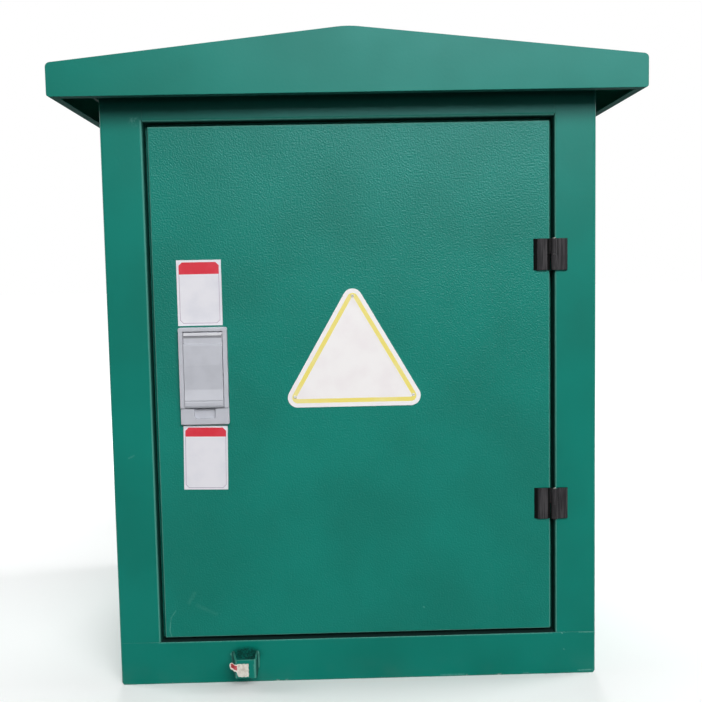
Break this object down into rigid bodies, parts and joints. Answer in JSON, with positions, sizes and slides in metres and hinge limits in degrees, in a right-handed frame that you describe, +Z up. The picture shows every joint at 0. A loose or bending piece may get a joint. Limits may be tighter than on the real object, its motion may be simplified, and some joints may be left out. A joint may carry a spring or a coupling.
{
  "type": "outdoor cable branch cabinet",
  "caption": "Free-standing green sheet-steel cable cabinet with a gabled overhanging roof cap, one flush side-hung door on surface hinges, and a panel lock under a flip-up weather flap",
  "frame": {"origin": "On the ground, under the middle of the body and of the roof cap", "axes": "+X to the right as seen from the front, +Y from the door to the back, +Z up"},
  "size_m": [0.87, 0.77, 0.9941],
  "materials": {
    "green_paint": "teal-green powder coat, semi-gloss with a fine orange-peel texture",
    "black_casting": "satin black coated die casting",
    "bright_steel": "bright zinc-plated steel",
    "galvanised_steel": "hot-dip galvanised steel",
    "copper": "bare copper bar",
    "grey_plastic": "fine-grained light grey moulded plastic",
    "black_rubber": "matt black rubber"
  },
  "bodies": {
    "cabinet": {"base_front_rail": "green_paint", "base_rear_rail": "green_paint", "base_left_rail": "green_paint", "base_right_rail": "green_paint", "floor_front_plate": "green_paint", "floor_rear_plate": "green_paint", "cable_grommets": "black_rubber", "left_front_post": "green_paint", "right_front_post": "green_paint", "left_rear_post": "green_paint", "right_rear_post": "green_paint", "front_head_rail": "green_paint", "rear_head_rail": "green_paint", "left_wall": "green_paint", "right_wall": "green_paint", "rear_cover": "green_paint", "ceiling_plate": "green_paint", "roof_sheet": "green_paint", "roof_front_gable": "green_paint", "roof_rear_gable": "green_paint", "roof_bearers": "green_paint", "door_gasket": "black_rubber", "upper_hinge_frame_leaf": "black_casting", "lower_hinge_frame_leaf": "black_casting", "upper_hinge_pin": "bright_steel", "lower_hinge_pin": "bright_steel", "earth_bracket": "green_paint", "cable_rail": "galvanised_steel", "earth_bar": "copper"},
    "door": {"door_panel": "green_paint", "door_stiffeners": "green_paint", "upper_hinge_door_leaf": "black_casting", "lower_hinge_door_leaf": "black_casting", "lock_housing": "grey_plastic", "lock_core": "bright_steel", "lock_cam": "bright_steel", "flap_pin": "bright_steel"},
    "flap": {"lock_flap": "grey_plastic"}
  },
  "joints": [
    {"name": "door_swing", "type": "hinge", "parent": "cabinet", "child": "door", "pos_m": [0.309, -0.331, 0.4695], "axis": [0, 0, 1], "range_deg": [0, 120]},
    {"name": "lock_flap_lift", "type": "hinge", "parent": "door", "child": "flap", "pos_m": [-0.2295, -0.3305, 0.5515], "axis": [-1, 0, 0], "range_deg": [0, 100]}
  ]
}
